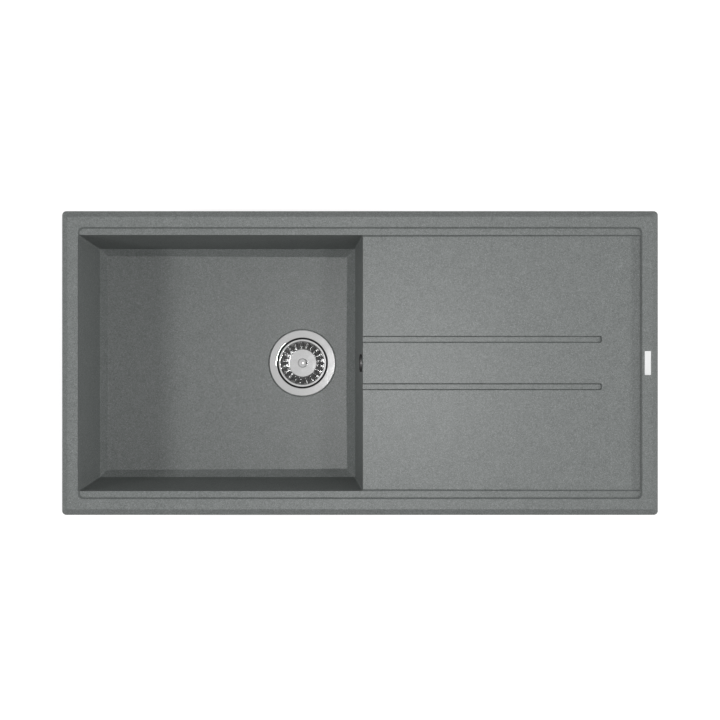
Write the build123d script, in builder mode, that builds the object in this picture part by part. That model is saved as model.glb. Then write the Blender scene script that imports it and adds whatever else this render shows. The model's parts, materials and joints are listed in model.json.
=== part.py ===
"""Inset kitchen sink in granite composite: one bowl, a ledge for sliding boards and a drainboard,
with its basket strainer waste, rigid overflow pipe and worktop clamps.

Millimetres. The origin is the middle of the worktop cut-out, z = 0 is the worktop's top face,
+X runs along the sink towards the drainboard, +Y to the back and +Z up.
"""

import os
from math import cos, radians, sin, tan

from build123d import *

os.makedirs("parts", exist_ok=True)

# Rim
basin_length = 1000.0
basin_width = 510.0
rim_height = 12.0
rim_lip = 1.7
rim_bevel = 10.0
rim_corner = 7.0
rim_top_corner = 3.5
rim_band = 27.4
rim_round = 0.8
rim_edge_round = 0.7
wall = 8.0

# Ledge along the front and back that carries sliding boards
ledge_drop = 5.0
ledge_width = 10.6
recess_corner = 8.5
step_draft = 25.0

# Drainboard and its two grooves
board_drop = 6.0
board_fall = 2.0
board_corner = 2.5
groove_width = 11.5
groove_slope = 1.1
groove_depth = 3.0
groove_spacing = 79.5
groove_reach = 401.0
groove_corner = 3.0

# Bowl
bowl_edge = 5.0
bowl_depth = 200.0
bowl_draft = 4.3
bowl_corner = 2.5
floor_bevel = 13.0
floor_fall = 2.0
floor_crown = 1.2
bevel_round = 3.0

# Underside of the moulding
tray_wall = 12.0
under_round = 10.0

# Badge on the right of the rim
badge_length = 40.0
badge_width = 10.5
badge_thickness = 0.8
badge_corner = 1.0

# Foam strip under the rim
strip_width = 6.0
strip_thickness = 2.0

# Drain opening in the bowl's floor
drain_x = -102.0
drain_recess = 3.0
drain_recess_radius = 59.5
drain_hole_radius = 45.2
drain_boss_radius = 64.0
drain_seat_thickness = 9.0

# Steel dish that lines the drain opening
sheet = 1.0
flange_radius = 57.5
flange_seal_thickness = 1.5
throat_radius = 43.5
throat_depth = 9.5
shoulder_run = 4.0
dish_depth = 35.7
dish_bend = 2.5
dish_hole_radius = 5.0
dish_hole_circle = 25.0
dish_holes = 8
screw_gap = 0.3

# Basket strainer
basket_rim_radius = 41.8
basket_rim_width = 3.2
basket_rim_depth = 4.5
basket_sheet = 0.8
basket_floor_radius = 24.5
basket_floor_depth = 24.5
basket_bend = 1.5
basket_slots = 20
slot_width = 3.4
slot_inner_radius = 26.0
slot_outer_radius = 37.4
seat_gap = 0.3
knob_radius = 8.0
knob_neck_radius = 5.5
knob_top_depth = 2.0
knob_head_height = 8.0
knob_dome = 1.4
stem_radius = 3.0
stem_depth = 46.0
stem_top_depth = 8.0
stem_washer_radius = 8.0
stem_washer_thickness = 1.2
stem_collar_radius = 4.8
stem_collar_thickness = 1.0
catch_wire_radius = 0.8
catch_depth = 40.0
running_gap = 0.05

# Centre screw and the waste body below the sink
screw_radius = 6.0
screw_head_radius = 10.5
screw_head_height = 7.5
screw_length = 24.0
screw_bore_radius = 4.1
screw_bore_depth = 22.0
screw_slot = 2.4
waste_seal_thickness = 3.0
waste_seal_radius = 58.0
waste_flange_radius = 60.0
waste_flange_thickness = 5.0
cup_radius = 49.5
cup_wall = 3.0
cup_height = 34.0
cone_height = 12.0
cone_floor = 2.0
outlet_radius = 23.9
outlet_wall = 4.4
outlet_length = 28.0
hub_radius = 11.0
hub_height = 25.0
rib_thickness = 3.0
rib_height = 12.0
insert_radius = 8.0
insert_height = 16.0

# Overflow in the bowl's right wall
overflow_drop = 44.0
overflow_hole_radius = 12.0
rosette_radius = 15.0
rosette_thickness = 3.0
rosette_dish = 1.6
rosette_rim = 2.2
rosette_slots = 6
rosette_slot_width = 3.0
overflow_screw_radius = 2.0
overflow_screw_head_radius = 4.2
overflow_screw_length = 30.0
overflow_screw_cross = 1.1
overflow_seal_thickness = 2.5
elbow_flange_radius = 21.0
elbow_flange_thickness = 3.0
elbow_radius = 14.5
elbow_bore_radius = 11.5
elbow_boss_radius = 4.5
elbow_boss_length = 12.0
elbow_end = 4.0
pipe_stand_off = 31.5
pipe_radius = 10.0
pipe_wall = 1.6
pipe_gap = 0.3
pipe_insert = 14.0
pipe_bend = 45.0
spigot_radius = 13.0
spigot_drop = 38.0
inlet_reach = 72.0
inlet_depth = 36.0
nut_radius = 17.5
nut_cover = 11.0
nut_lip = 3.0
nut_flutes = 12
nut_flute = 1.6
cone_seal_height = 5.0

# Worktop clamps
clamps_per_side = 4
clamp_inset = 9.0
worktop_thickness = 40.0
clamp_thickness = 2.5
clamp_width = 12.0
clamp_reach = 24.0
clamp_heel = 7.8
clamp_heel_width = 8.0
clamp_tooth = 3.0
clamp_screw_radius = 3.0
clamp_hole_gap = 0.08
clamp_play = 0.2
clamp_corner = 2.0
clamp_head_radius = 5.0
clamp_head_height = 4.0
clamp_key = 2.5
clamp_washer_radius = 6.0
clamp_washer_thickness = 1.2
clamp_insert_radius = 4.5
clamp_insert_length = 10.0
clamp_screw_end = 1.0

# Levels and outlines that follow from the sizes above
lean = tan(radians(bowl_draft))
step_lean = tan(radians(step_draft))
ledge_z = rim_height - ledge_drop
board_z = ledge_z - board_drop
tray_z = board_z - wall
floor_z = rim_height - bowl_depth
bevel_z = floor_z + floor_bevel
recess_length = basin_length - 2 * rim_band
recess_width = basin_width - 2 * rim_band
recess_left = -recess_length / 2
ledge_foot_y = recess_width / 2 - ledge_drop * step_lean
bowl_half_width = ledge_foot_y - ledge_width
tray_length = recess_length + 2 * tray_wall
tray_width = recess_width + 2 * tray_wall


def bowl_plan(z, grow=0.0):
    """Centre x, length and width of the drafted bowl at height z, grown outwards by grow."""
    left = recess_left + (rim_height - z) * lean - grow
    right = bowl_edge + (z - board_z) * lean + grow
    half = bowl_half_width - (ledge_z - z) * lean + grow
    return (left + right) / 2, right - left, 2 * half


bevel_x, bevel_length, bevel_width = bowl_plan(bevel_z)
floor_left = bevel_x - bevel_length / 2 + floor_bevel
floor_length = bevel_length - 2 * floor_bevel
floor_slope = floor_fall / floor_length
drain_z = floor_z - (drain_x - floor_left) * floor_slope
seat_z = drain_z - drain_recess
boss_z = seat_z - drain_seat_thickness
under_z = floor_z - floor_fall - wall

drain_axis = Axis((drain_x, 0, 0), (0, 0, 1))
drain_section = Plane(origin=(drain_x, 0, 0), x_dir=(1, 0, 0), z_dir=(0, -1, 0))


def lies_level(edge, z):
    """True for an edge that lies in the level plane at height z."""
    box = edge.bounding_box()
    return abs(box.min.Z - z) < 0.01 and abs(box.max.Z - z) < 0.01


def drain_plane(z):
    """Level plane centred on the drain at height z."""
    return Plane(origin=(drain_x, 0, z))


# Space above the ledge, inside the rim
with BuildPart() as recess_space:
    for level in (rim_height, ledge_z):
        inset = (rim_height - level) * step_lean
        with BuildSketch(Plane.XY.offset(level)):
            RectangleRounded(recess_length - 2 * inset, recess_width - 2 * inset, recess_corner)
    loft(ruled=True)

# Space above the drainboard, whose floor falls towards the bowl; its front and back walls lean as
# the ledge's step does and its right wall as the bowl's walls do
board_left = bowl_edge - 2 * board_corner
board_right = recess_length / 2 - ledge_drop * step_lean - board_drop * lean
board_length = board_right - bowl_edge
board_plane = Plane(
    origin=(bowl_edge, 0, board_z),
    x_dir=(board_length, 0, board_fall),
    z_dir=(-board_fall, 0, board_length),
)
with BuildPart() as board_space:
    for level in (ledge_z, board_z):
        right = board_right + (level - board_z) * lean
        half = bowl_half_width - (ledge_z - level) * step_lean
        with BuildSketch(Plane.XY.offset(level)):
            with Locations(((board_left + right) / 2, 0)):
                RectangleRounded(right - board_left, 2 * half, board_corner)
    loft(ruled=True)
    split(bisect_by=board_plane, keep=Keep.TOP)

# One groove, cut down from the drainboard's sloping face and open to the bowl
with BuildPart() as groove_space:
    groove_left = bowl_edge - board_drop
    for depth, share in ((0.0, 0.0), (groove_depth, 1.0)):
        with BuildSketch(board_plane.offset(-depth)):
            inset = share * groove_slope
            with Locations(((groove_left - bowl_edge + groove_reach - inset) / 2, 0)):
                RectangleRounded(
                    groove_reach - inset + bowl_edge - groove_left,
                    groove_width - 2 * inset,
                    groove_corner - inset / 2,
                )
    loft(ruled=True)

# Space inside the bowl: drafted walls, a bevel round the floor and a floor that falls to the drain
with BuildPart() as bowl_space:
    for level in (rim_height, bevel_z):
        x, length, width = bowl_plan(level)
        with BuildSketch(Plane.XY.offset(level)):
            with Locations((x, 0)):
                RectangleRounded(length, width, bowl_corner)
    loft(ruled=True)
    bevel_overrun = floor_bevel + floor_fall + floor_crown
    for level, inset in ((bevel_z, 0.0), (bevel_z - bevel_overrun, bevel_overrun)):
        with BuildSketch(Plane.XY.offset(level)):
            with Locations((bevel_x, 0)):
                RectangleRounded(bevel_length - 2 * inset, bevel_width - 2 * inset, bowl_corner)
    loft(ruled=True)
    floor_section = Plane(
        origin=(floor_left, 0, floor_z),
        x_dir=(0, 1, 0),
        z_dir=(1, 0, -floor_slope),
    )
    with BuildSketch(floor_section):
        with BuildLine():
            half = bowl_half_width
            edge_rise = floor_crown * (half / (bevel_width / 2 - floor_bevel)) ** 2
            ThreePointArc((-half, edge_rise), (0, 0), (half, edge_rise))
            Polyline((half, edge_rise), (half, -bowl_depth), (-half, -bowl_depth), (-half, edge_rise))
        make_face()
    extrude(amount=basin_length, both=True, mode=Mode.SUBTRACT)
    bevel_top = bowl_space.edges().filter_by(lambda e: lies_level(e, bevel_z))
    fillet(bevel_top, bevel_round)
    bevel_foot = bowl_space.edges().filter_by(lambda e: e.center().Z < floor_z + 2 * floor_crown)
    fillet(bevel_foot, bevel_round)

# Overflow plane: on the bowl's right wall, z into the bowl and y down the wall
overflow_z = rim_height - overflow_drop
overflow_plane = Plane(
    origin=(bowl_edge + (overflow_z - board_z) * lean, 0, overflow_z),
    x_dir=(0, 1, 0),
    z_dir=(-cos(radians(bowl_draft)), 0, sin(radians(bowl_draft))),
)
wall_across = wall * cos(radians(bowl_draft))

clamp_spacing = basin_length / clamps_per_side
clamp_positions = [(i + 0.5) * clamp_spacing - basin_length / 2 for i in range(clamps_per_side)]
clamp_y = tray_width / 2 - clamp_inset
clamp_places =[(x, side * clamp_y) for side in (-1, 1) for x in clamp_positions]


def strip_outline():
    """Ring of the foam strip, midway between the tray's wall and the rim's edge."""
    middle = (basin_length - tray_length) / 2
    RectangleRounded(
        tray_length + middle + strip_width,
        tray_width + middle + strip_width,
        recess_corner + tray_wall,
    )
    RectangleRounded(
        tray_length + middle - strip_width,
        tray_width + middle - strip_width,
        recess_corner + tray_wall - strip_width,
        mode=Mode.SUBTRACT,
    )


# The moulding: rim, tray, bowl and drainboard in one piece
with BuildPart() as sink_body:
    with BuildSketch():
        RectangleRounded(basin_length, basin_width, rim_corner)
    extrude(amount=rim_lip)
    with BuildSketch(Plane.XY.offset(rim_lip)):
        RectangleRounded(basin_length, basin_width, rim_corner)
    with BuildSketch(Plane.XY.offset(rim_height)):
        RectangleRounded(
            basin_length - 2 * rim_bevel,
            basin_width - 2 * rim_bevel,
            rim_top_corner,
        )
    loft(ruled=True)
    fillet(sink_body.edges().filter_by(lambda e: lies_level(e, rim_height)), rim_edge_round)
    with BuildSketch():
        RectangleRounded(tray_length, tray_width, recess_corner + tray_wall)
    extrude(amount=tray_z)
    for level in (tray_z + wall, under_z + under_round):
        x, length, width = bowl_plan(level, grow=wall)
        with BuildSketch(Plane.XY.offset(level)):
            with Locations((x, 0)):
                RectangleRounded(length, width, bowl_corner + wall)
    loft(ruled=True)
    for inset, level in ((0.0, under_z + under_round), (under_round, under_z)):
        with BuildSketch(Plane.XY.offset(level)):
            with Locations((x, 0)):
                RectangleRounded(length - 2 * inset, width - 2 * inset, bowl_corner + wall - inset / 2)
    loft(ruled=True)
    with BuildSketch(drain_plane(boss_z)):
        Circle(drain_boss_radius)
    extrude(amount=seat_z - boss_z)

    add(recess_space.part, mode=Mode.SUBTRACT)
    recess_edges = sink_body.edges(Select.LAST)
    fillet(recess_edges.filter_by(lambda e: lies_level(e, rim_height)), rim_round)
    add(board_space.part, mode=Mode.SUBTRACT)
    add(bowl_space.part, mode=Mode.SUBTRACT)
    with Locations((0, groove_spacing / 2), (0, -groove_spacing / 2)):
        add(groove_space.part, mode=Mode.SUBTRACT)

    with BuildSketch(drain_plane(seat_z)):
        Circle(drain_recess_radius)
    extrude(amount=2 * drain_recess, mode=Mode.SUBTRACT)
    with BuildSketch(drain_plane(seat_z)):
        Circle(drain_hole_radius)
    extrude(amount=-2 * drain_seat_thickness, mode=Mode.SUBTRACT)
    with BuildSketch(overflow_plane.offset(wall)):
        Circle(overflow_hole_radius)
    extrude(amount=-3 * wall, mode=Mode.SUBTRACT)

    with BuildSketch():
        strip_outline()
    extrude(amount=strip_thickness, mode=Mode.SUBTRACT)
    with BuildSketch(Plane.XY.offset(tray_z)):
        with Locations(*clamp_places):
            Circle(clamp_insert_radius)
    extrude(amount=clamp_insert_length, mode=Mode.SUBTRACT)


def finish(piece, name):
    """Label a piece and write it."""
    piece.part.label = name
    export_step(piece.part, f"parts/{name}.step")


def ring(plane, outer, inner, height):
    """Flat ring that stands on a plane, made in the open part."""
    with BuildSketch(plane) as outline:
        Circle(outer)
        Circle(inner, mode=Mode.SUBTRACT)
    extrude(outline.sketch, amount=height)


def bent_sheet(points, bend, thickness):
    """Round sheet metal about the drain: its upper face follows points of radius and height."""
    with BuildSketch(drain_section) as section:
        with BuildLine():
            face = FilletPolyline(*points, radius=bend)
            offset(face, amount=thickness, side=Side.LEFT)
        make_face()
    revolve(section.sketch, axis=drain_axis)


finish(sink_body, "sink_body")

# Bare plate on the right of the rim
with BuildPart() as badge_plate:
    badge_x = (recess_length / 2 + rim_round + basin_length / 2 - rim_bevel) / 2
    with BuildSketch(Plane(origin=(badge_x, 0, rim_height))):
        RectangleRounded(badge_width, badge_length, badge_corner)
    extrude(amount=badge_thickness)
finish(badge_plate, "badge_plate")

# Foam strip, flush with the rim's underside
with BuildPart() as rim_strip:
    with BuildSketch():
        strip_outline()
    extrude(amount=strip_thickness)
finish(rim_strip, "rim_strip")

# Steel dish, hung by its flange on a seal in the floor's recess
dish_z = seat_z + flange_seal_thickness + sheet
shoulder_z = dish_z - throat_depth
dish_floor_z = dish_z - dish_depth
lower_radius = throat_radius - shoulder_run

with BuildPart() as flange_seal:
    ring(drain_plane(seat_z), flange_radius, throat_radius + dish_bend, flange_seal_thickness)
finish(flange_seal, "flange_seal")

with BuildPart() as drain_dish:
    dish_points = (
        (flange_radius, dish_z),
        (throat_radius, dish_z),
        (throat_radius, shoulder_z),
        (lower_radius, shoulder_z - shoulder_run),
        (lower_radius, dish_floor_z),
        (screw_radius + screw_gap, dish_floor_z),
    )
    bent_sheet(dish_points, dish_bend, sheet)
    with BuildSketch(drain_plane(dish_floor_z)):
        with PolarLocations(dish_hole_circle, dish_holes):
            Circle(dish_hole_radius)
    extrude(amount=-2 * sheet, mode=Mode.SUBTRACT)
finish(drain_dish, "drain_dish")

# Centre screw: a slotted head whose bore takes the basket's stem
head_z = dish_floor_z + screw_head_height
with BuildPart() as centre_screw:
    with BuildSketch(drain_plane(dish_floor_z)):
        Circle(screw_head_radius)
    extrude(amount=screw_head_height)
    with BuildSketch(drain_plane(dish_floor_z)):
        Circle(screw_radius)
    extrude(amount=-screw_length)
    with BuildSketch(drain_plane(head_z)):
        Circle(screw_bore_radius)
    extrude(amount=-screw_bore_depth, mode=Mode.SUBTRACT)
    with BuildSketch(drain_plane(head_z)):
        Rectangle(2 * screw_head_radius, screw_slot)
    extrude(amount=-screw_slot, mode=Mode.SUBTRACT)
finish(centre_screw, "centre_screw")

# Waste body below the bowl: a cup with the overflow's inlet and a ribbed hub for the centre screw
waste_z = boss_z - waste_seal_thickness
cup_z = waste_z - waste_flange_thickness - cup_height
cone_z = cup_z - cone_height
outlet_z = cone_z - outlet_length
hub_z = dish_floor_z - sheet
inlet_z = drain_z - inlet_depth
inlet_start = Plane(origin=(drain_x, 0, inlet_z), x_dir=(0, 1, 0), z_dir=(1, 0, 0))
inlet_mouth = inlet_start.offset(inlet_reach)

with BuildPart() as waste_seal:
    ring(drain_plane(boss_z), waste_seal_radius, drain_hole_radius, -waste_seal_thickness)
finish(waste_seal, "waste_seal")

with BuildPart() as waste_body:
    with BuildSketch(drain_section):
        with BuildLine():
            Polyline(
                (0, waste_z),
                (waste_flange_radius, waste_z),
                (waste_flange_radius, waste_z - waste_flange_thickness),
                (cup_radius, waste_z - waste_flange_thickness),
                (cup_radius, cup_z),
                (0, cup_z),
                close=True,
            )
        make_face()
    revolve(axis=drain_axis)
    with BuildSketch(inlet_start):
        Circle(spigot_radius)
    extrude(amount=inlet_reach)
    with BuildSketch(drain_plane(waste_z)):
        Circle(cup_radius - cup_wall)
    extrude(amount=cup_z - waste_z, mode=Mode.SUBTRACT)
    with BuildSketch(drain_plane(hub_z)):
        Circle(hub_radius)
    extrude(amount=-hub_height)
    with BuildSketch(drain_plane(cup_z)):
        for turn in (45, 135):
            Rectangle(2 * (cup_radius - cup_wall / 2), rib_thickness, rotation=turn)
    extrude(amount=rib_height)
    with BuildSketch(drain_plane(hub_z)):
        Circle(screw_radius + screw_gap)
    extrude(amount=-hub_height, mode=Mode.SUBTRACT)
    with BuildSketch(drain_plane(hub_z - hub_height)):
        Circle(insert_radius)
    extrude(amount=insert_height, mode=Mode.SUBTRACT)
    with BuildSketch(inlet_mouth):
        Circle(pipe_radius + pipe_gap)
    extrude(amount=-(pipe_insert + pipe_gap), mode=Mode.SUBTRACT)
    with BuildSketch(inlet_mouth):
        Circle(pipe_radius - pipe_wall)
    extrude(amount=-(inlet_reach - cup_radius + 2 * cup_wall), mode=Mode.SUBTRACT)
finish(waste_body, "waste_body")

# Funnel welded under the cup; its outlet's thread is a plain cylinder
with BuildPart() as waste_funnel:
    bore_radius = outlet_radius - outlet_wall
    cone_run = cup_radius - cup_wall - bore_radius
    mouth_radius = cup_radius - cup_wall - cone_floor * cone_run / cone_height
    with BuildSketch(drain_section):
        with BuildLine():
            Polyline(
                (mouth_radius, cup_z),
                (cup_radius, cup_z),
                (outlet_radius, cone_z),
                (outlet_radius, outlet_z),
                (bore_radius, outlet_z),
                (bore_radius, cone_z + cone_floor),
                close=True,
            )
        make_face()
    revolve(axis=drain_axis)
finish(waste_funnel, "waste_funnel")

with BuildPart() as hub_insert:
    ring(
        drain_plane(hub_z - hub_height),
        insert_radius - running_gap,
        screw_radius + running_gap,
        insert_height,
    )
finish(hub_insert, "hub_insert")

# Basket strainer, resting just above the dish's shoulder
basket_z = dish_z - basket_rim_depth
basket_floor_z = dish_z - basket_floor_depth
knob_z = dish_z - knob_top_depth
stem_top_z = dish_z - stem_top_depth
washer_z = basket_floor_z - basket_sheet - stem_washer_thickness

with BuildPart() as basket_cup:
    basket_points = (
        (basket_rim_radius, basket_z),
        (basket_rim_radius - basket_rim_width, basket_z),
        (basket_floor_radius, basket_floor_z),
        (stem_radius + seat_gap, basket_floor_z),
    )
    bent_sheet(basket_points, basket_bend, basket_sheet)
    with BuildSketch(drain_plane(basket_z)):
        with PolarLocations((slot_inner_radius + slot_outer_radius) / 2, basket_slots):
            SlotOverall(slot_outer_radius - slot_inner_radius, slot_width)
    extrude(amount=-basket_floor_depth, mode=Mode.SUBTRACT)
finish(basket_cup, "basket_cup")

with BuildPart() as basket_seal:
    seal_outer = basket_rim_radius + seat_gap
    seal_inner = basket_rim_radius - basket_rim_width + basket_bend
    seat_rise = seat_gap / cos(radians(45))
    with BuildSketch(drain_section):
        with BuildLine():
            Polyline(
                (seal_outer, basket_z - basket_sheet),
                (seal_outer, shoulder_z - throat_radius + seal_outer + seat_rise),
                (seal_inner, shoulder_z - throat_radius + seal_inner + seat_rise),
                (seal_inner, basket_z - basket_sheet),
                close=True,
            )
        make_face()
    revolve(axis=drain_axis)
finish(basket_seal, "basket_seal")

with BuildPart() as basket_knob:
    head_foot_z = knob_z - knob_head_height
    dome_radius = (knob_radius**2 + knob_dome**2) / (2 * knob_dome)
    with BuildSketch(drain_section):
        with BuildLine():
            Polyline(
                (0, basket_floor_z),
                (knob_neck_radius, basket_floor_z),
                (knob_neck_radius, head_foot_z),
                (knob_radius, head_foot_z + knob_radius - knob_neck_radius),
                (knob_radius, knob_z - knob_dome),
            )
            RadiusArc((knob_radius, knob_z - knob_dome), (0, knob_z), -dome_radius)
            Line((0, knob_z), (0, basket_floor_z))
        make_face()
    revolve(axis=drain_axis)
    with BuildSketch(drain_plane(basket_floor_z)):
        Circle(stem_radius + running_gap)
    extrude(amount=stem_top_z - basket_floor_z + seat_gap, mode=Mode.SUBTRACT)
finish(basket_knob, "basket_knob")

with BuildPart() as stem_washer:
    ring(drain_plane(washer_z), stem_washer_radius, stem_radius + seat_gap, stem_washer_thickness)
finish(stem_washer, "stem_washer")

with BuildPart() as stem_catch:
    catch_z = dish_z - catch_depth
    with BuildSketch(drain_section):
        with Locations((stem_radius, catch_z)):
            Circle(catch_wire_radius)
    revolve(axis=drain_axis)
finish(stem_catch, "stem_catch")

with BuildPart() as basket_stem:
    with BuildSketch(drain_plane(dish_z - stem_depth)):
        Circle(stem_radius)
    extrude(amount=stem_depth - stem_top_depth)
    with BuildSketch(drain_plane(washer_z - seat_gap)):
        Circle(stem_collar_radius)
    extrude(amount=-stem_collar_thickness)
    add(stem_catch.part, mode=Mode.SUBTRACT)
finish(basket_stem, "basket_stem")

# Overflow: cover in the bowl, elbow behind its wall and a rigid pipe down to the waste body
screw_seat = rosette_thickness - rosette_dish
wall_back = overflow_plane.offset(-wall_across)
elbow_face = wall_back.offset(-overflow_seal_thickness)
pipe_x = overflow_plane.origin.X + pipe_stand_off
spigot_start = Plane(origin=(pipe_x, 0, overflow_z), x_dir=(1, 0, 0), z_dir=(0, 0, -1))
elbow_mouth = spigot_start.offset(spigot_drop)

with BuildPart() as overflow_rosette:
    with BuildSketch(overflow_plane):
        Circle(rosette_radius)
    extrude(amount=rosette_thickness)
    with BuildSketch(overflow_plane.offset(rosette_thickness)):
        Circle(rosette_radius - rosette_rim)
    extrude(amount=-rosette_dish, mode=Mode.SUBTRACT)
    with BuildSketch(overflow_plane):
        slot_length = rosette_radius - rosette_rim - overflow_screw_head_radius - rosette_slot_width / 2
        with PolarLocations(overflow_screw_head_radius + slot_length / 2 + 0.5, rosette_slots):
            SlotOverall(slot_length, rosette_slot_width)
        Circle(overflow_screw_radius + running_gap)
    extrude(amount=rosette_thickness, mode=Mode.SUBTRACT)
finish(overflow_rosette, "overflow_rosette")

with BuildPart() as overflow_screw:
    with BuildSketch(overflow_plane.offset(screw_seat)):
        Circle(overflow_screw_head_radius)
    extrude(amount=rosette_dish)
    with BuildSketch(overflow_plane.offset(screw_seat)):
        Circle(overflow_screw_radius)
    extrude(amount=-overflow_screw_length)
    with BuildSketch(overflow_plane.offset(screw_seat + rosette_dish)):
        for turn in (0, 90):
            Rectangle(overflow_screw_head_radius, overflow_screw_cross, rotation=turn)
    extrude(amount=-overflow_screw_cross, mode=Mode.SUBTRACT)
finish(overflow_screw, "overflow_screw")

with BuildPart() as overflow_seal:
    ring(wall_back, elbow_flange_radius, overflow_hole_radius, -overflow_seal_thickness)
finish(overflow_seal, "overflow_seal")

with BuildPart() as overflow_elbow:
    face_depth = wall_across + overflow_seal_thickness
    elbow_length = pipe_stand_off + elbow_radius - face_depth
    with BuildSketch(elbow_face):
        Circle(elbow_flange_radius)
    extrude(amount=-elbow_flange_thickness)
    with BuildSketch(elbow_face):
        Circle(elbow_radius)
    extrude(amount=-elbow_length)
    with BuildSketch(spigot_start):
        Circle(spigot_radius)
    extrude(amount=spigot_drop)
    with BuildSketch(elbow_face):
        Circle(elbow_bore_radius)
    extrude(amount=elbow_end - elbow_length, mode=Mode.SUBTRACT)
    with BuildSketch(elbow_mouth):
        Circle(pipe_radius + pipe_gap)
    extrude(amount=-(pipe_insert + pipe_gap), mode=Mode.SUBTRACT)
    with BuildSketch(spigot_start):
        Circle(pipe_radius - pipe_wall)
    extrude(amount=spigot_drop, mode=Mode.SUBTRACT)
    boss_top = screw_seat - overflow_screw_length + elbow_boss_length
    with BuildSketch(overflow_plane.offset(boss_top)):
        Circle(elbow_boss_radius)
        Rectangle(rib_thickness, 2 * elbow_bore_radius + rib_thickness)
    extrude(amount=-elbow_boss_length)
    with BuildSketch(overflow_plane.offset(boss_top)):
        Circle(overflow_screw_radius + running_gap)
    extrude(amount=-elbow_boss_length, mode=Mode.SUBTRACT)
finish(overflow_elbow, "overflow_elbow")

# Compression joints at the pipe's two ends, each on the plane of a spigot's mouth
for name, mouth in (("elbow", elbow_mouth), ("inlet", inlet_mouth)):
    with BuildPart() as cone_seal:
        ring(mouth, spigot_radius, pipe_radius + running_gap, cone_seal_height)
    finish(cone_seal, f"{name}_cone_seal")

    with BuildPart() as pipe_nut:
        nut_foot = mouth.offset(-nut_cover)
        with BuildSketch(nut_foot):
            Circle(nut_radius)
            with PolarLocations(nut_radius, nut_flutes):
                Circle(nut_flute, mode=Mode.SUBTRACT)
        extrude(amount=nut_cover + cone_seal_height + nut_lip)
        with BuildSketch(nut_foot):
            Circle(spigot_radius + running_gap)
        extrude(amount=nut_cover + cone_seal_height, mode=Mode.SUBTRACT)
        with BuildSketch(mouth):
            Circle(pipe_radius + pipe_gap)
        extrude(amount=cone_seal_height + nut_lip, mode=Mode.SUBTRACT)
    finish(pipe_nut, f"{name}_nut")

with BuildPart() as overflow_pipe:
    pipe_top_z = elbow_mouth.origin.Z + pipe_insert
    with BuildLine(Plane.XZ):
        FilletPolyline(
            (pipe_x, pipe_top_z),
            (pipe_x, inlet_z),
            (inlet_mouth.origin.X - pipe_insert, inlet_z),
            radius=pipe_bend,
        )
    with BuildSketch(Plane(origin=(pipe_x, 0, pipe_top_z), x_dir=(1, 0, 0), z_dir=(0, 0, -1))):
        Circle(pipe_radius)
        Circle(pipe_radius - pipe_wall, mode=Mode.SUBTRACT)
    sweep()
finish(overflow_pipe, "overflow_pipe")

# Worktop clamps, parked along the sink; each swings about its screw
clamp_z = -worktop_thickness - clamp_tooth
clamp_washer_z = clamp_z - clamp_thickness - clamp_play
clamp_head_z = clamp_washer_z - clamp_washer_thickness

with BuildPart() as clamp_inserts:
    with BuildSketch(Plane.XY.offset(tray_z)):
        with Locations(*clamp_places):
            Circle(clamp_insert_radius - running_gap)
            Circle(clamp_screw_radius + running_gap, mode=Mode.SUBTRACT)
    extrude(amount=clamp_insert_length)
finish(clamp_inserts, "clamp_inserts")

with BuildPart() as clamp_screws:
    with BuildSketch(Plane.XY.offset(clamp_head_z)):
        with Locations(*clamp_places):
            Circle(clamp_screw_radius)
    extrude(amount=tray_z + clamp_insert_length - clamp_screw_end - clamp_head_z)
    with BuildSketch(Plane.XY.offset(clamp_head_z)):
        with Locations(*clamp_places):
            Circle(clamp_head_radius)
    extrude(amount=-clamp_head_height)
    with BuildSketch(Plane.XY.offset(clamp_head_z - clamp_head_height)):
        with Locations(*clamp_places):
            RegularPolygon(clamp_key, 6)
    extrude(amount=clamp_head_height / 2, mode=Mode.SUBTRACT)
finish(clamp_screws, "clamp_screws")

with BuildPart() as clamp_washers:
    with BuildSketch(Plane.XY.offset(clamp_washer_z)):
        with Locations(*clamp_places):
            Circle(clamp_washer_radius)
            Circle(clamp_screw_radius + running_gap, mode=Mode.SUBTRACT)
    extrude(amount=-clamp_washer_thickness)
finish(clamp_washers, "clamp_washers")

for row, side in (("front", -1), ("back", 1)):
    for number, x in enumerate(clamp_positions, start=1):
        pivot = Plane(origin=(x, side * clamp_y, clamp_z))
        with BuildPart() as clamp:
            with BuildSketch(pivot):
                with Locations(((clamp_reach - clamp_heel) / 2, 0)):
                    RectangleRounded(clamp_reach + clamp_heel, clamp_width, clamp_corner)
            extrude(amount=-clamp_thickness)
            with BuildSketch(pivot):
                with Locations((-clamp_heel + clamp_thickness / 2, 0)):
                    Rectangle(clamp_thickness, clamp_heel_width)
            extrude(amount=tray_z - seat_gap - clamp_z)
            with BuildSketch(pivot):
                with Locations((clamp_reach - clamp_thickness / 2, 0)):
                    Rectangle(clamp_thickness, clamp_heel_width)
            extrude(amount=clamp_tooth)
            with BuildSketch(pivot):
                Circle(clamp_screw_radius + clamp_hole_gap)
            extrude(amount=-clamp_thickness, mode=Mode.SUBTRACT)
        finish(clamp, f"clamp_{row}_{number}")
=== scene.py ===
import json
from math import atan2, cos, pi, radians, sin

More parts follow.
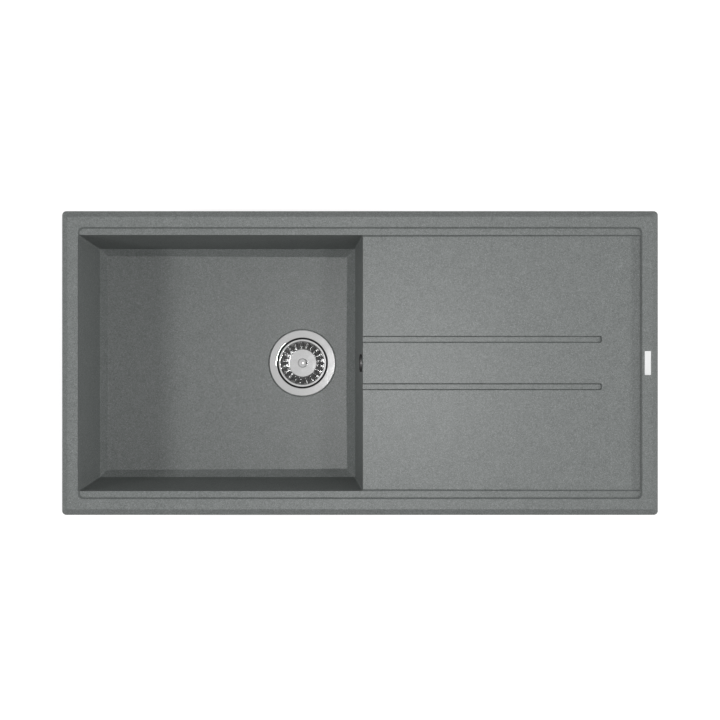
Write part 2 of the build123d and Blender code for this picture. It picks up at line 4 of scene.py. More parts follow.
import bmesh
import bpy
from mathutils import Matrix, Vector


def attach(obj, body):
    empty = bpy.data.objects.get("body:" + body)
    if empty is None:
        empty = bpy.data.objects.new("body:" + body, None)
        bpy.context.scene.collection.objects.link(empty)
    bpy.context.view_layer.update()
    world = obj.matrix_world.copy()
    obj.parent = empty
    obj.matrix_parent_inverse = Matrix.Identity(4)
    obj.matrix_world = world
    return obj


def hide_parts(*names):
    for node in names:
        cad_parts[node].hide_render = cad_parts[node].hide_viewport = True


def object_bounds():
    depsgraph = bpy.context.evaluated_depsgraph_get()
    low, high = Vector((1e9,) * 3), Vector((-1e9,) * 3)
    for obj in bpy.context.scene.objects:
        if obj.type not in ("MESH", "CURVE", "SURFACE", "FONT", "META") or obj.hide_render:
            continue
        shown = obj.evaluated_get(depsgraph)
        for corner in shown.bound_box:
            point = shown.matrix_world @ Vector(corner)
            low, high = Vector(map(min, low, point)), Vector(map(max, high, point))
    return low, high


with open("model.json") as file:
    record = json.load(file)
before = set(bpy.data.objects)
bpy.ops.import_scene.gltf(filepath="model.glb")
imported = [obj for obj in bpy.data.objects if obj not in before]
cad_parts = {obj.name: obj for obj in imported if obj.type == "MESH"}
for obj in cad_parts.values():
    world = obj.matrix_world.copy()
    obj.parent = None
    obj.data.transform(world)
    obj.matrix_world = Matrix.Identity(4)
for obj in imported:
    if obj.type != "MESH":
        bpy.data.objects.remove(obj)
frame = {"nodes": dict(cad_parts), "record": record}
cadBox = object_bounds()
mm = 0.001
drainCentre = Vector((-0.102, 0, 0))
print("frame loaded:", len(frame["nodes"]), "nodes")


# node helpers

def addNode(tree, kind, settings=None, **sockets):
    node = tree.nodes.new(kind)
    for key, value in (settings or {}).items():
        setattr(node, key, value)
    for key, value in sockets.items():
        node.inputs[key.replace("_", " ")].default_value = value
    return node


def mathNode(tree, operation, first, second=None, clamp=False):
    node = tree.nodes.new("ShaderNodeMath")
    node.operation = operation
    node.use_clamp = clamp
    for socket, value in zip(node.inputs, (first, second)):
        if isinstance(value, (int, float)):
            socket.default_value = value
        elif value is not None:
            tree.links.new(value, socket)
    return node.outputs[0]


def rampNode(tree, factor, stops):
    node = tree.nodes.new("ShaderNodeValToRGB")
    while len(node.color_ramp.elements) < len(stops):
        node.color_ramp.elements.new(0.5)
    for element, (place, colour) in zip(node.color_ramp.elements, stops):
        element.position = place
        element.color = (*colour, 1)
    tree.links.new(factor, node.inputs[0])
    return node.outputs[0]


def blendColour(tree, factor, first, second):
    node = addNode(tree, "ShaderNodeMix", {"data_type": 'RGBA'})
    node.inputs[7].default_value = (*second, 1)
    tree.links.new(factor, node.inputs[0])
    tree.links.new(first, node.inputs[6])
    return node.outputs[2]


def mixShaders(tree, factor, first, second):
    node = tree.nodes.new("ShaderNodeMixShader")
    for value, socket in zip((factor, first, second), node.inputs):
        tree.links.new(value, socket)
    return node.outputs[0]


def mapRange(tree, value, low, high, toLow, toHigh):
    node = tree.nodes.new("ShaderNodeMapRange")
    for socket, number in zip(node.inputs[1:5], (low, high, toLow, toHigh)):
        socket.default_value = number
    tree.links.new(value, node.inputs[0])
    return node.outputs[0]


def newGroup(name, ins, outs):
    group = bpy.data.node_groups.new(name, "ShaderNodeTree")
    for label, kind, start in ins:
        socket = group.interface.new_socket(label, in_out='INPUT', socket_type=kind)
        socket.default_value = start
    for label, kind in outs:
        group.interface.new_socket(label, in_out='OUTPUT', socket_type=kind)
    return group, group.nodes.new("NodeGroupInput"), group.nodes.new("NodeGroupOutput")


# grain: small cells of mixed tone with a slow cloud over them, for stone and foam
grainMix = {"finer": 2.3, "coarseShare": 0.6, "fineShare": 0.4, "toneInHeight": 0.5}


def makeGrainGroup():
    group, start, end = newGroup(
        "mineralGrain",
        [("Vector", 'NodeSocketVector', (0, 0, 0)), ("Scale", 'NodeSocketFloat', 900.0),
         ("Cloud Scale", 'NodeSocketFloat', 60.0)],
        [("Tone", 'NodeSocketFloat'), ("Fleck", 'NodeSocketFloat'), ("Cloud", 'NodeSocketFloat'),
         ("Height", 'NodeSocketFloat')])
    link = group.links.new
    coarse = addNode(group, "ShaderNodeTexVoronoi")
    fine = addNode(group, "ShaderNodeTexVoronoi")
    cloud = addNode(group, "ShaderNodeTexNoise", Detail=3.0, Roughness=0.6)
    for node in (coarse, fine, cloud):
        link(start.outputs["Vector"], node.inputs["Vector"])
    link(start.outputs["Scale"], coarse.inputs["Scale"])
    link(mathNode(group, 'MULTIPLY', start.outputs["Scale"], grainMix["finer"]), fine.inputs["Scale"])
    link(start.outputs["Cloud Scale"], cloud.inputs["Scale"])
    coarseRandom = addNode(group, "ShaderNodeSeparateColor")
    fineRandom = addNode(group, "ShaderNodeSeparateColor")
    link(coarse.outputs["Color"], coarseRandom.inputs[0])
    link(fine.outputs["Color"], fineRandom.inputs[0])
    tone = mathNode(group, 'ADD',
                    mathNode(group, 'MULTIPLY', coarseRandom.outputs[0], grainMix["coarseShare"]),
                    mathNode(group, 'MULTIPLY', fineRandom.outputs[0], grainMix["fineShare"]))
    link(tone, end.inputs["Tone"])
    link(fineRandom.outputs[1], end.inputs["Fleck"])
    link(cloud.outputs["Fac"], end.inputs["Cloud"])
    height = mathNode(group, 'ADD', fine.outputs["Distance"],
                      mathNode(group, 'MULTIPLY', tone, grainMix["toneInHeight"]))
    link(height, end.inputs["Height"])
    return group


# turning: fine rings about an upright axis, as a lathe or a polishing wheel leaves them
def makeTurningGroup():
    group, start, end = newGroup(
        "turningMarks",
        [("Vector", 'NodeSocketVector', (0, 0, 0)), ("Rings", 'NodeSocketFloat', 2500.0),
         ("Smear", 'NodeSocketFloat', 120.0)],
        [("Marks", 'NodeSocketFloat'), ("Smudge", 'NodeSocketFloat')])
    link = group.links.new
    parts = addNode(group, "ShaderNodeSeparateXYZ")
    link(start.outputs["Vector"], parts.inputs[0])
    square = mathNode(group, 'ADD', mathNode(group, 'MULTIPLY', parts.outputs[0], parts.outputs[0]),
                      mathNode(group, 'MULTIPLY', parts.outputs[1], parts.outputs[1]))
    along = mathNode(group, 'ADD', mathNode(group, 'SQRT', square), parts.outputs[2])
    rings = addNode(group, "ShaderNodeTexNoise", {"noise_dimensions": '1D'}, Detail=4.0, Roughness=0.7)
    link(mathNode(group, 'MULTIPLY', along, start.outputs["Rings"]), rings.inputs["W"])
    smudge = addNode(group, "ShaderNodeTexNoise", Detail=2.0)
    link(start.outputs["Vector"], smudge.inputs["Vector"])
    link(start.outputs["Smear"], smudge.inputs["Scale"])
    link(rings.outputs["Fac"], end.inputs["Marks"])
    link(smudge.outputs["Fac"], end.inputs["Smudge"])
    return group


# moulding: the faint orange peel and cloudiness of moulded plastic and rubber
def makeMouldGroup():
    group, start, end = newGroup(
        "mouldedSkin",
        [("Vector", 'NodeSocketVector', (0, 0, 0)), ("Peel", 'NodeSocketFloat', 900.0),
         ("Flow", 'NodeSocketFloat', 25.0)],
        [("Peel", 'NodeSocketFloat'), ("Flow", 'NodeSocketFloat')])
    link = group.links.new
    peel = addNode(group, "ShaderNodeTexNoise", Detail=3.0)
    flow = addNode(group, "ShaderNodeTexNoise", Detail=4.0, Distortion=0.6)
    for node, name in ((peel, "Peel"), (flow, "Flow")):
        link(start.outputs["Vector"], node.inputs["Vector"])
        link(start.outputs[name], node.inputs["Scale"])
        link(node.outputs["Fac"], end.inputs[name])
    return group


grainGroup = makeGrainGroup()
turningGroup = makeTurningGroup()
mouldGroup = makeMouldGroup()


# materials

def newMaterial(name, group, centre=(0, 0, 0), **groupValues):
    material = bpy.data.materials.new(name)
    material.use_nodes = True
    tree = material.node_tree
    shader = tree.nodes["Principled BSDF"]
    place = tree.nodes.new("ShaderNodeTexCoord")
    mapping = tree.nodes.new("ShaderNodeMapping")
    mapping.inputs["Location"].default_value = [-c for c in centre]
    tree.links.new(place.outputs["Object"], mapping.inputs["Vector"])
    effect = addNode(tree, "ShaderNodeGroup", {"node_tree": group}, **groupValues)
    tree.links.new(mapping.outputs[0], effect.inputs["Vector"])
    return material, tree, shader, effect


def addBump(tree, shader, height, strength, depth):
    bump = addNode(tree, "ShaderNodeBump", Strength=strength, Distance=depth)
    tree.links.new(height, bump.inputs["Height"])
    tree.links.new(bump.outputs[0], shader.inputs["Normal"])


granite = {"dark": (0.127, 0.136, 0.134), "mid": (0.192, 0.205, 0.201), "pale": (0.262, 0.277, 0.273),
           "darkAt": 0.12, "midAt": 0.5, "paleAt": 0.88,
           "fleck": (0.40, 0.41, 0.41), "fleckFrom": 0.965, "fleckTo": 0.985,
           "grain": 760.0, "cloud": 38.0, "grainShare": 0.8, "cloudShare": 0.2,
           "roughness": 0.66, "roughSpread": 0.05, "roughFrom": 0.1, "roughTo": 0.9,
           "specular": 0.15, "pits": 0.00002, "pitStrength": 0.35,
           "coat": 0.15, "coatIndex": 2.0, "coatRoughness": 0.3}


def makeGranite():
    material, tree, shader, grain = newMaterial("graniteComposite", grainGroup, Scale=granite["grain"],
                                                Cloud_Scale=granite["cloud"])
    tone = mathNode(tree, 'ADD', mathNode(tree, 'MULTIPLY', grain.outputs["Tone"], granite["grainShare"]),
                    mathNode(tree, 'MULTIPLY', grain.outputs["Cloud"], granite["cloudShare"]))
    body = rampNode(tree, tone, [(granite[shade + "At"], granite[shade]) for shade in ("dark", "mid", "pale")])
    fleck = mapRange(tree, grain.outputs["Fleck"], granite["fleckFrom"], granite["fleckTo"], 0.0, 1.0)
    tree.links.new(blendColour(tree, fleck, body, granite["fleck"]), shader.inputs["Base Color"])
    rough = mapRange(tree, grain.outputs["Tone"], granite["roughFrom"], granite["roughTo"],
                     granite["roughness"] + granite["roughSpread"], granite["roughness"] - granite["roughSpread"])
    tree.links.new(rough, shader.inputs["Roughness"])
    shader.inputs["Specular IOR Level"].default_value = granite["specular"]
    shader.inputs["Coat Weight"].default_value = granite["coat"]
    shader.inputs["Coat IOR"].default_value = granite["coatIndex"]
    shader.inputs["Coat Roughness"].default_value = granite["coatRoughness"]
    addBump(tree, shader, grain.outputs["Height"], granite["pitStrength"], granite["pits"])
    return material


# every turned or polished metal
turned = {"pale": 1.06, "darker": 0.9, "low": 0.3, "high": 0.7, "marksShare": 0.6, "smudgeShare": 0.4,
          "scratch": 0.00001, "scratchStrength": 0.2}


def makeTurned(name, colour, roughness, spread, rings=2500.0, centre=tuple(drainCentre)):
    material, tree, shader, turning = newMaterial(name, turningGroup, centre, Rings=rings)
    shader.inputs["Metallic"].default_value = 1.0
    pale = [min(1.0, c * turned["pale"]) for c in colour]
    darker = [c * turned["darker"] for c in colour]
    tint = rampNode(tree, turning.outputs["Marks"], [(turned["low"], darker), (turned["high"], pale)])
    tree.links.new(tint, shader.inputs["Base Color"])
    mixed = mathNode(tree, 'ADD', mathNode(tree, 'MULTIPLY', turning.outputs["Marks"], turned["marksShare"]),
                     mathNode(tree, 'MULTIPLY', turning.outputs["Smudge"], turned["smudgeShare"]))
    rough = mapRange(tree, mixed, turned["low"], turned["high"], roughness - spread, roughness + spread)
    tree.links.new(rough, shader.inputs["Roughness"])
    addBump(tree, shader, turning.outputs["Marks"], turned["scratchStrength"], turned["scratch"])
    return material


# the dish is polished above and matt inside, where no wheel reaches; inside, its colour is also painted near
# black, a painted shade for the dish's shadowed depths
dishMattAndPaintedShade = {"polished": (0.62, 0.62, 0.62), "darker": (0.07, 0.07, 0.07), "from": -0.19018, "to": -0.1905,
              "worn": 0.92, "bright": 0.045, "matt": 0.45, "smear": 0.03}


def makeDishSteel():
    material, tree, shader, turning = newMaterial("dishSteelPaintedShade", turningGroup, tuple(drainCentre))
    shader.inputs["Metallic"].default_value = 1.0
    place = tree.nodes.new("ShaderNodeTexCoord")
    level = tree.nodes.new("ShaderNodeSeparateXYZ")
    tree.links.new(place.outputs["Object"], level.inputs[0])
    depth = mapRange(tree, level.outputs[2], dishMattAndPaintedShade["from"], dishMattAndPaintedShade["to"], 0.0, 1.0)
    worn = [c * dishMattAndPaintedShade["worn"] for c in dishMattAndPaintedShade["polished"]]
    bright = rampNode(tree, turning.outputs["Marks"],
                      [(turned["low"], worn), (turned["high"], dishMattAndPaintedShade["polished"])])
    # painted shade: below the polished band the colour blends to near black
    tree.links.new(blendColour(tree, depth, bright, dishMattAndPaintedShade["darker"]), shader.inputs["Base Color"])
    rough = mapRange(tree, depth, 0.0, 1.0, dishMattAndPaintedShade["bright"], dishMattAndPaintedShade["matt"])
    smear = mathNode(tree, 'MULTIPLY', mathNode(tree, 'SUBTRACT', turning.outputs["Smudge"], 0.5),
                     dishMattAndPaintedShade["smear"])
    tree.links.new(mathNode(tree, 'ADD', rough, smear), shader.inputs["Roughness"])
    addBump(tree, shader, turning.outputs["Marks"], turned["scratchStrength"], turned["scratch"])
    return material


# every moulded plastic and rubber
moulded = {"dullAt": 0.35, "paleAt": 0.65, "roughSpread": 0.06, "roughFrom": 0.3, "roughTo": 0.7,
           "peelStrength": 0.25, "glowDepth": (0.004, 0.004, 0.004)}


def makeMoulded(name, colour, roughness, sheen=0.06, peel=900.0, depth=0.00004, subsurface=0.0):
    material, tree, shader, mould = newMaterial(name, mouldGroup, Peel=peel)
    pale = [min(1.0, c * (1 + sheen)) for c in colour]
    darker = [c * (1 - sheen) for c in colour]
    tint = rampNode(tree, mould.outputs["Flow"], [(moulded["dullAt"], darker), (moulded["paleAt"], pale)])
    tree.links.new(tint, shader.inputs["Base Color"])
    rough = mapRange(tree, mould.outputs["Flow"], moulded["roughFrom"], moulded["roughTo"],
                     roughness - moulded["roughSpread"], roughness + moulded["roughSpread"])
    tree.links.new(rough, shader.inputs["Roughness"])
    addBump(tree, shader, mould.outputs["Peel"], moulded["peelStrength"], depth)
    if subsurface:
        shader.inputs["Subsurface Weight"].default_value = subsurface
        shader.inputs["Subsurface Radius"].default_value = moulded["glowDepth"]
    return material


foam = {"dark": (0.02, 0.02, 0.021), "pale": (0.05, 0.05, 0.052), "darkAt": 0.2, "paleAt": 0.8,
        "cells": 1500.0, "cloud": 50.0, "smooth": 0.82, "rough": 0.95, "roughFrom": 0.3, "roughTo": 0.7,
        "pores": 0.0002, "poreStrength": 0.6}


def makeFoam():
    material, tree, shader, grain = newMaterial("closedCellFoam", grainGroup, Scale=foam["cells"],
                                                Cloud_Scale=foam["cloud"])
    tint = rampNode(tree, grain.outputs["Tone"], [(foam[shade + "At"], foam[shade]) for shade in ("dark", "pale")])
    tree.links.new(tint, shader.inputs["Base Color"])
    rough = mapRange(tree, grain.outputs["Cloud"], foam["roughFrom"], foam["roughTo"],
                     foam["smooth"], foam["rough"])
    tree.links.new(rough, shader.inputs["Roughness"])
    addBump(tree, shader, grain.outputs["Height"], foam["poreStrength"], foam["pores"])
    return material


finishes = {
    "granite": makeGranite(),
    "badge": makeMoulded("whiteEnamel", (0.92, 0.93, 0.93), 0.3, sheen=0.02, peel=1500.0, depth=0.00001),
    "foam": makeFoam(),
    "rubber": makeMoulded("blackRubber", (0.022, 0.022, 0.023), 0.7, sheen=0.2),
    "polished_steel": makeTurned("polishedSteel", (0.62, 0.62, 0.62), 0.05, 0.015),
    "plain_steel": makeTurned("turnedSteel", (0.60, 0.60, 0.61), 0.32, 0.08, rings=1800.0),
    "zinc_steel": makeTurned("zincPlate", (0.60, 0.62, 0.66), 0.36, 0.08, rings=400.0, centre=(0, 0, 0)),
    "brass": makeTurned("turnedBrass", (0.62, 0.46, 0.20), 0.3, 0.07),
    "waste_plastic": makeMoulded("pressedPolypropylene", (0.72, 0.73, 0.73), 0.42, subsurface=0.15),
    "nut_plastic": makeMoulded("darkPolypropylene", (0.055, 0.055, 0.06), 0.4, sheen=0.12),
    "pipe_plastic": makeMoulded("drawnPolypropylene", (0.76, 0.77, 0.77), 0.35, peel=500.0, subsurface=0.15),
}
# pieces whose finish differs from the rest of their slot; the darker colours among them are partly painted shade
overflowCentre = (0.002, 0, -0.05)
ownFinishAndShade = {
    "drain_dish": makeDishSteel(),
    # painted shade: the overflow's cover and screw are darkened copies of steel, as dark as the shaded wall round
    # them
    "overflow_rosette": makeTurned("satinSteelPaintedShade", (0.20, 0.20, 0.20), 0.5, 0.05, centre=overflowCentre),
    "overflow_screw": makeTurned("darkSteelPaintedShade", (0.09, 0.09, 0.09), 0.45, 0.05, centre=overflowCentre),
}
print("finishes:", len(finishes) + len(ownFinishAndShade))


# piece helpers, angles in degrees
copies = {"weld": 1e-6, "flatAngle": 0.2, "sharpAngle": 38}


def mergedCopy(node):
    bm = bmesh.new()
    bm.from_mesh(frame["nodes"][node].data)
    bmesh.ops.remove_doubles(bm, verts=bm.verts, dist=copies["weld"])
    bmesh.ops.dissolve_limit(bm, angle_limit=radians(copies["flatAngle"]), verts=bm.verts, edges=bm.edges)
    return bm


def creases(bm, angle, keep=None):
    found = [e for e in bm.edges if e.is_manifold and e.calc_face_angle(0) > radians(angle)]
    if keep is None:
        return found
    return [e for e in found if all(keep(v.co) for v in e.verts)]


def roundOff(bm, edges, size, segments=2):
    return bmesh.ops.bevel(bm, geom=edges, offset=size, offset_type='OFFSET', segments=segments, profile=0.5,
                           affect='EDGES', clamp_overlap=True, material=-1)


def setRadius(v, radius):
    v.co.xy = drainCentre.xy + (v.co - drainCentre).xy.normalized() * radius


slotOf = {row["node"]: row["material_slot"] for row in frame["record"]["subparts"]}
bodyOf = {node: body for body, nodes in frame["record"]["behaviour"]["bodies"].items() for node in nodes}


def addPiece(name, bm, node):
    for face in bm.faces:
        face.smooth = True
    for edge in bm.edges:
        edge.smooth = edge.calc_face_angle(0) < radians(copies["sharpAngle"])
    mesh = bpy.data.meshes.new(name)
    bm.to_mesh(mesh)
    bm.free()
    mesh.materials.append(ownFinishAndShade.get(node, finishes[slotOf[node]]))
    piece = bpy.data.objects.new(name, mesh)
    bpy.context.collection.objects.link(piece)
    weights = piece.modifiers.new("flatFaces", 'WEIGHTED_NORMAL')
    weights.keep_sharp = True
    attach(piece, bodyOf[node])
    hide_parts(node)


# granite basin: its rounds and scores, the angles of their edges and where those edges lie
basin = {"stepRound": 0.35 * mm, "grooveRound": 0.3 * mm, "drainRound": 0.8 * mm, "lipRound": 0.6 * mm,
         "scoreWidth": 1.05 * mm, "scoreDepth": 3.2 * mm,
         "grooveScore": 0.75 * mm, "grooveDepth": 2.0 * mm,
         "grooveAngle": 12, "stepAngle": 35, "drainAngle": 35, "lipAngle": 30,
         "insideRim": (0.4728, 0.2278), "stepLevels": (0.0005, 0.0075),
         "grooveX": (-0.003, 0.41), "grooveY": (0.028, 0.052), "grooveZ": (-0.003, 0.0035), "grooveMouth": 0.0065,
         "drainRadius": 0.0605, "drainLevels": (-0.1935, -0.187), "lip": (0.49, 0.246), "lipBelow": 0.0025}


def between(value, limits):
    return limits[0] < value < limits[1]


def inGroove(p):
    return (between(p.x, basin["grooveX"]) and between(abs(p.y), basin["grooveY"])
            and between(p.z, basin["grooveZ"]))


def onSteps(p):
    length, width = basin["insideRim"]
    return (abs(p.x) < length and abs(p.y) < width and between(p.z, basin["stepLevels"])
            and not inGroove(p))


def atDrain(p):
    return (p - drainCentre).xy.length < basin["drainRadius"] and between(p.z, basin["drainLevels"])


def underLip(p):
    length, width = basin["lip"]
    return (abs(p.x) > length or abs(p.y) > width) and p.z < basin["lipBelow"]


def scoreFoot(bm, edges, width, depth):
    # a narrow quirk along the foot of a step or a groove
    made = roundOff(bm, edges, width)
    band = set(made["faces"])
    middle = [v for v in made["verts"] if all(f in band for f in v.link_faces)]
    bmesh.ops.translate(bm, verts=middle, vec=(0, 0, -depth))
    return len(middle)


def makeBasin():
    bm = mergedCopy("sink_body")
    sides = [e for e in creases(bm, basin["grooveAngle"], inGroove)
             if max(v.co.x for v in e.verts) > basin["grooveMouth"]]
    sunk = [e for e in sides if not e.is_convex]
    roundOff(bm, [e for e in sides if e.is_convex], basin["grooveRound"])
    lowered = scoreFoot(bm, [e for e in sunk if e.is_valid], basin["grooveScore"], basin["grooveDepth"])
    print("feet of the grooves:", len(sunk), "edges,", lowered, "points lowered")
    steps = creases(bm, basin["stepAngle"], onSteps)
    feet = [e for e in steps if not e.is_convex]
    roundOff(bm, [e for e in steps if e.is_convex], basin["stepRound"])
    scored = scoreFoot(bm, [e for e in feet if e.is_valid], basin["scoreWidth"], basin["scoreDepth"])
    print("feet of the steps:", len(feet), "edges,", scored, "points lowered")
    roundOff(bm, creases(bm, basin["drainAngle"], atDrain), basin["drainRound"], 3)
    roundOff(bm, creases(bm, basin["lipAngle"], underLip), basin["lipRound"])
    print("basin:", len(bm.verts), "points,", sum(not e.is_manifold for e in bm.edges), "open edges")
    addPiece("granite_basin", bm, "sink_body")


makeBasin()

# fittings of the CAD's shape with their edges broken: size in mm and segments
brokenAngle = 30
clampEdge = (0.4, 2)
brokenEdges = {
    "badge_plate": (0.25, 3), "drain_dish": (0.3, 2), "centre_screw": (0.4, 2), "basket_cup": (0.22, 2),
    "basket_knob": (0.6, 3), "stem_washer": (0.2, 2), "basket_stem": (0.3, 2), "overflow_rosette": (0.45, 3),
    "overflow_screw": (0.3, 2), "overflow_elbow": (0.5, 2), "elbow_nut": (0.5, 2), "inlet_nut": (0.5, 2),
    "waste_body": (0.5, 2), "waste_funnel": (0.6, 2), "clamp_screws": (0.3, 2), "clamp_washers": (0.2, 2),
}
for row in ("front", "back"):
    for number in range(1, 5):
        brokenEdges[f"clamp_{row}_{number}"] = clampEdge

# wider slots in the basket
strainer = {"slots": 20, "wider": 1.3, "inner": 25.9 * mm, "outer": 37.5 * mm, "reach": 1.75 * mm}


def widenSlots(bm):
    step = 2 * pi / strainer["slots"]
    for v in bm.verts:
        offset = (v.co - drainCentre).xy
        radius = offset.length
        angle = atan2(offset.y, offset.x)
        middle = round(angle / step) * step
        aside = radius * sin(angle - middle)
        if strainer["inner"] < radius < strainer["outer"] and abs(aside) < strainer["reach"]:
            along = radius * cos(angle - middle)
            aside *= strainer["wider"]
            v.co.x = drainCentre.x + along * cos(middle) - aside * sin(middle)
            v.co.y = drainCentre.y + along * sin(middle) + aside * cos(middle)


# play for the stem inside the knob, so that their facets pass when it turns
stemPlay = {"above": -0.217, "from": 2.0 * mm, "to": 3.2 * mm, "radius": 2.85 * mm}


def slimStem(bm):
    for v in bm.verts:
        offset = (v.co - drainCentre).xy
        if v.co.z > stemPlay["above"] and stemPlay["from"] < offset.length < stemPlay["to"]:
            setRadius(v, stemPlay["radius"])


# thread on the outlet, foot and crest as shares of the pitch
outlet = {"plain": 23.9 * mm, "tolerance": 0.2 * mm, "root": 22.6 * mm, "crest": 23.85 * mm, "sunk": 0.3 * mm,
          "pitch": 2.309 * mm, "halfFoot": 0.42, "halfCrest": 0.08, "top": -0.2592, "turns": 9.5,
          "stepsPerTurn": 30}


def narrowOutlet(bm):
    for v in bm.verts:
        offset = (v.co - drainCentre).xy
        if abs(offset.length - outlet["plain"]) < outlet["tolerance"]:
            setRadius(v, outlet["root"])


def windThread(bm):
    # one ridge wound round the outlet, its foot a little inside the wall
    foot = outlet["root"] - outlet["sunk"]
    profile = [(foot, outlet["halfFoot"]), (outlet["crest"], outlet["halfCrest"]),
               (outlet["crest"], -outlet["halfCrest"]), (foot, -outlet["halfFoot"])]
    before = set(bm.faces)
    corners = [bm.verts.new((drainCentre.x + radius, drainCentre.y, outlet["top"] + part * outlet["pitch"]))
               for radius, part in profile]
    start = bm.faces.new(corners)
    steps = round(outlet["turns"] * outlet["stepsPerTurn"])
    fall = outlet["turns"] * outlet["pitch"] / steps
    bmesh.ops.spin(bm, geom=[start, *start.edges, *start.verts], cent=drainCentre, axis=(0, 0, -1),
                   dvec=(0, 0, -fall), angle=outlet["turns"] * 2 * pi, steps=steps)
    bmesh.ops.holes_fill(bm, edges=[e for e in bm.edges if e.is_boundary], sides=4)
    ridge = [f for f in bm.faces if f not in before]
    bmesh.ops.recalc_face_normals(bm, faces=ridge)
    loose = sum(not e.is_manifold for f in ridge for e in f.edges)
    print("outlet thread:", len(ridge), "faces,", loose, "open edges")


reshaped = {"basket_cup": widenSlots, "basket_stem": slimStem, "waste_funnel": narrowOutlet}


def makeFittings():
    for node, (size, segments) in brokenEdges.items():
        bm = mergedCopy(node)
        if node in reshaped:
            reshaped[node](bm)
        roundOff(bm, creases(bm, brokenAngle), size * mm, segments)
        if node == "waste_funnel":
            windThread(bm)
        addPiece("fitted_" + node, bm, node)
    # the other nodes stay as the CAD made them
    for node, obj in frame["nodes"].items():
        if not obj.hide_render:
            obj.data.materials.clear()
            obj.data.materials.append(finishes[slotOf[node]])
    print("fittings:", len(brokenEdges))


makeFittings()


# stage, lamps and camera
stage = {"size": 30.0, "gap": 0.0005, "colour": (0.45, 0.45, 0.45), "roughness": 0.9, "glow": 0.78,
         "ambient": 0.30, "horizon": 0.06, "ceiling": 1.0, "wallTop": 0.45, "ceilingEdge": 0.9}


def seenBy(tree, mirrored):
    path = tree.nodes.new("ShaderNodeLightPath")
    seen = mathNode(tree, 'MAXIMUM', path.outputs["Is Camera Ray"], path.outputs["Is Transmission Ray"])
    if mirrored:
        seen = mathNode(tree, 'MAXIMUM', seen, path.outputs["Is Glossy Ray"])
    return seen


def addWhite(tree, plain):
    # the camera and reflections see the floor nearly white, with the object's shadow still on it
    white = addNode(tree, "ShaderNodeEmission", Color=(1, 1, 1, 1))
    tree.links.new(mathNode(tree, 'MULTIPLY', seenBy(tree, True), stage["glow"]), white.inputs["Strength"])
    both = tree.nodes.new("ShaderNodeAddShader")
    tree.links.new(plain, both.inputs[0])
    tree.links.new(white.outputs[0], both.inputs[1])
    return both.outputs[0]


def whiteToCamera(tree, plain):
    # the world is white to the camera and plain to everything else
    white = addNode(tree, "ShaderNodeEmission", Color=(1, 1, 1, 1), Strength=1.0)
    return mixShaders(tree, seenBy(tree, False), plain, white.outputs[0])


def makeFloor():
    bm = bmesh.new()
    bmesh.ops.create_grid(bm, x_segments=1, y_segments=1, size=stage["size"] / 2)
    bmesh.ops.translate(bm, verts=bm.verts, vec=(0, 0, cadBox[0].z - stage["gap"]))
    mesh = bpy.data.meshes.new("paleFloor")
    bm.to_mesh(mesh)
    bm.free()
    floor = bpy.data.objects.new("pale_floor", mesh)
    bpy.context.collection.objects.link(floor)
    material = bpy.data.materials.new("paleFloor")
    material.use_nodes = True
    tree = material.node_tree
    shader = tree.nodes["Principled BSDF"]
    shader.inputs["Base Color"].default_value = (*stage["colour"], 1)
    shader.inputs["Roughness"].default_value = stage["roughness"]
    lit = addWhite(tree, shader.outputs[0])
    # seen from below, the floor lets the eye through
    below = tree.nodes.new("ShaderNodeNewGeometry")
    clear = tree.nodes.new("ShaderNodeBsdfTransparent")
    shown = mixShaders(tree, below.outputs["Backfacing"], lit, clear.outputs[0])
    tree.links.new(shown, tree.nodes["Material Output"].inputs["Surface"])
    mesh.materials.append(material)


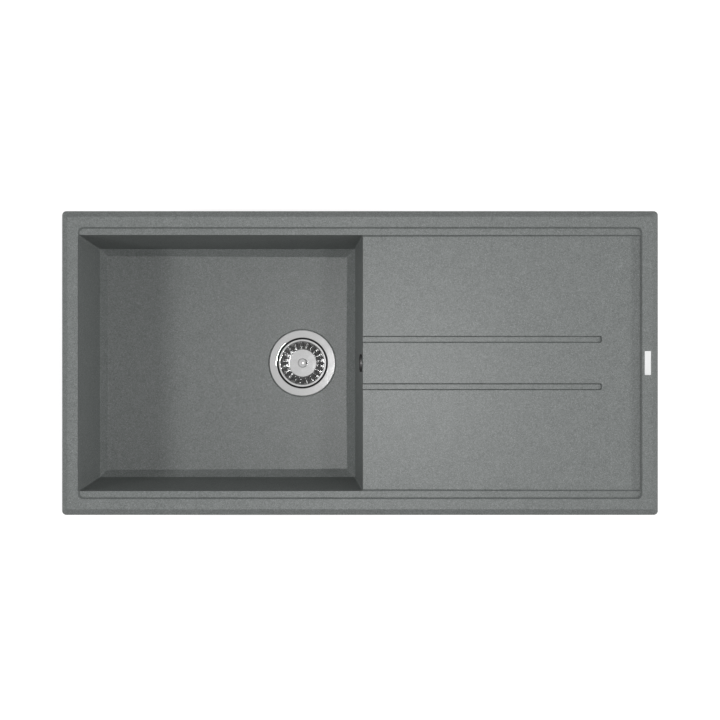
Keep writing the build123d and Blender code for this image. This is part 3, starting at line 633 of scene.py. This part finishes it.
def makeWorld():
    world = bpy.data.worlds.new("studio")
    bpy.context.scene.world = world
    world.use_nodes = True
    tree = world.node_tree
    plain = tree.nodes["Background"]
    plain.inputs["Color"].default_value = (1, 1, 1, 1)
    plain.inputs["Strength"].default_value = stage["ambient"]
    # in reflections the room is white overhead and dims towards its walls
    room = tree.nodes.new("ShaderNodeBackground")
    place = tree.nodes.new("ShaderNodeTexCoord")
    height = tree.nodes.new("ShaderNodeSeparateXYZ")
    tree.links.new(place.outputs["Generated"], height.inputs[0])
    dimming = mapRange(tree, height.outputs[2], stage["wallTop"], stage["ceilingEdge"], stage["horizon"],
                       stage["ceiling"])
    tree.links.new(dimming, room.inputs["Strength"])
    path = tree.nodes.new("ShaderNodeLightPath")
    light = mixShaders(tree, path.outputs["Is Glossy Ray"], plain.outputs[0], room.outputs[0])
    tree.links.new(whiteToCamera(tree, light), tree.nodes["World Output"].inputs["Surface"])


# only the overhead lamp shows in reflections
lamps = {
    "overhead": {"place": (0.09, -0.06, 3.3), "size": 0.2, "power": 18.5, "mirrored": True},
    "key": {"place": (2.5, 0.0, 6.5), "size": 0.5, "power": 52.0},
    "left_softbox": {"place": (-2.57, 0.0, 3.06), "size": 0.7, "power": 43.0},
    "right_softbox": {"place": (3.6, 0.0, 1.6), "size": 0.7, "power": 42.0},
}


def makeLamps():
    for name, lamp in lamps.items():
        light = bpy.data.lights.new(name, 'AREA')
        light.shape = 'DISK'
        light.size = lamp["size"]
        light.energy = lamp["power"]
        obj = bpy.data.objects.new(name + "_lamp", light)
        obj.location = lamp["place"]
        obj.rotation_euler = (-obj.location).to_track_quat('-Z', 'Y').to_euler()
        obj.visible_camera = False
        obj.visible_glossy = "mirrored" in lamp
        bpy.context.collection.objects.link(obj)


shot = {"height": 3.55, "rimTop": 0.012, "focal": 106.05, "sensor": 36.0, "shiftY": 0.0042}


def makeCamera():
    camera = bpy.data.cameras.new("overhead")
    camera.lens = shot["focal"]
    camera.sensor_width = shot["sensor"]
    camera.shift_y = shot["shiftY"]
    obj = bpy.data.objects.new("overhead_camera", camera)
    obj.location = (0, 0, shot["rimTop"] + shot["height"])
    bpy.context.collection.objects.link(obj)
    bpy.context.scene.camera = obj


makeFloor()
makeWorld()
makeLamps()
makeCamera()
bpy.context.scene.view_settings.view_transform = 'Standard'
print("stage, lamps and camera set")
